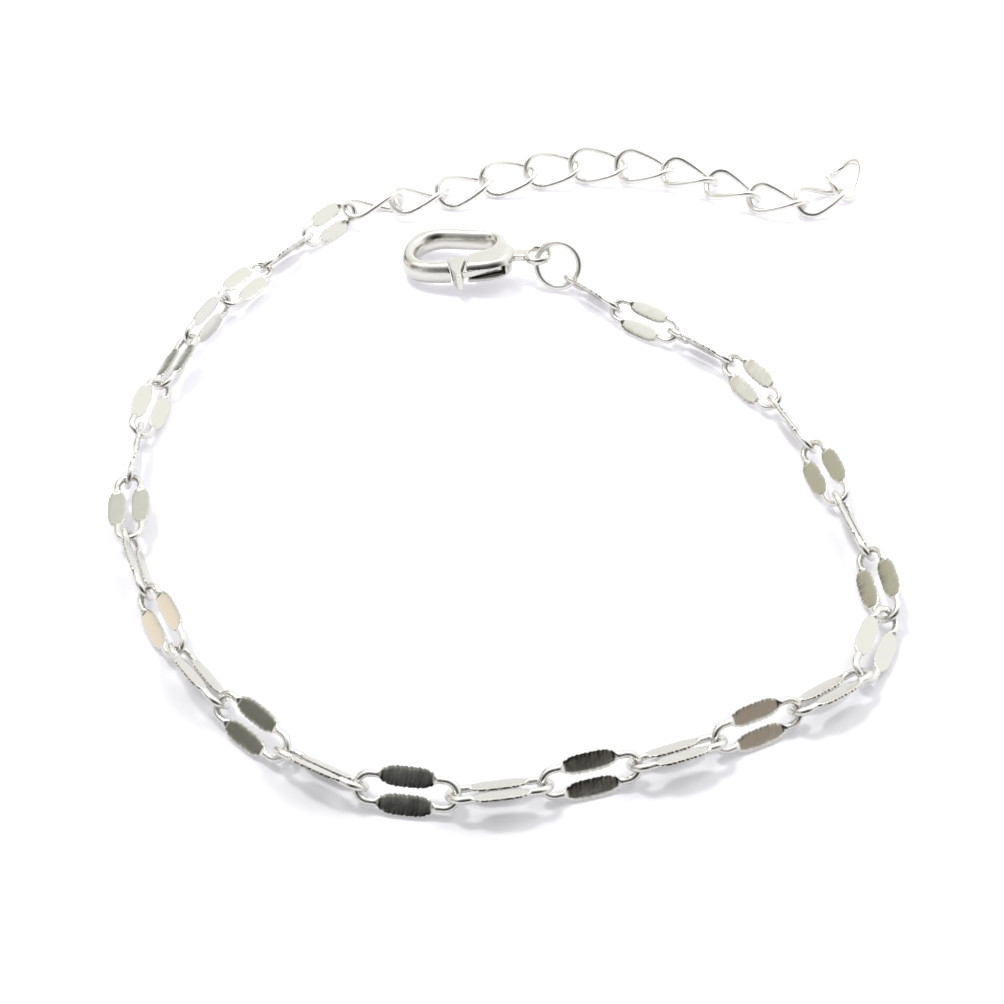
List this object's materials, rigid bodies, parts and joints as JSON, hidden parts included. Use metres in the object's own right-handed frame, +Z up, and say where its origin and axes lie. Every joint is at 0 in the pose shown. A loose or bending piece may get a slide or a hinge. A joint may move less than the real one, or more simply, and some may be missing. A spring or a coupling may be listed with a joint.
{
  "type": "chain bracelet",
  "caption": "Silver-plated chain bracelet of oval links with flattened sides, lying open, with a lobster clasp on a jump ring and a twisted curb extender chain.",
  "frame": {"origin": "on the surface the bracelet lies on, under the middle of its box", "axes": "+Z up from the surface, +Y from the front of the loop towards the clasp and the extender, +X to the right of the picture"},
  "size_m": [0.061, 0.0716, 0.0041],
  "materials": {
    "link_silver": "bright silver plate, polished wire, pressed sides with a fine satin grain",
    "extender_silver": "silver plate on tumbled wire, with a soft sheen",
    "ring_silver": "silver plate on tumbled wire, with a soft sheen",
    "clasp_silver": "bright silver plate on a tumbled casting"
  },
  "bodies": {
    "bracelet": {"link_01": "link_silver", "link_02": "link_silver", "link_03": "link_silver", "link_04": "link_silver", "link_05": "link_silver", "link_06": "link_silver", "link_07": "link_silver", "link_08": "link_silver", "link_09": "link_silver", "link_10": "link_silver", "link_11": "link_silver", "link_12": "link_silver", "link_13": "link_silver", "link_14": "link_silver", "link_15": "link_silver", "link_16": "link_silver", "link_17": "link_silver", "link_18": "link_silver", "link_19": "link_silver", "link_20": "link_silver", "link_21": "link_silver", "link_22": "link_silver", "link_23": "link_silver", "link_24": "link_silver", "link_25": "link_silver", "link_26": "link_silver", "link_27": "link_silver", "link_28": "link_silver", "extender_link_01": "extender_silver", "extender_link_02": "extender_silver", "extender_link_03": "extender_silver", "extender_link_04": "extender_silver", "extender_link_05": "extender_silver", "extender_link_06": "extender_silver", "extender_link_07": "extender_silver", "extender_link_08": "extender_silver", "extender_link_09": "extender_silver", "extender_link_10": "extender_silver", "extender_link_11": "extender_silver", "extender_link_12": "extender_silver", "jump_ring": "ring_silver", "clasp_body": "clasp_silver"},
    "clasp_lever": {"clasp_lever": "clasp_silver"}
  },
  "joints": [
    {"name": "lever_hinge", "type": "hinge", "parent": "bracelet", "child": "clasp_lever", "pos_m": [-0.00307, 0.01737, 0.00215], "axis": [0.1228, -0.0217, -0.9922], "range_deg": [0, 28], "stiffness_Nm_per_rad": 0.004, "springref_deg": -11.46}
  ]
}
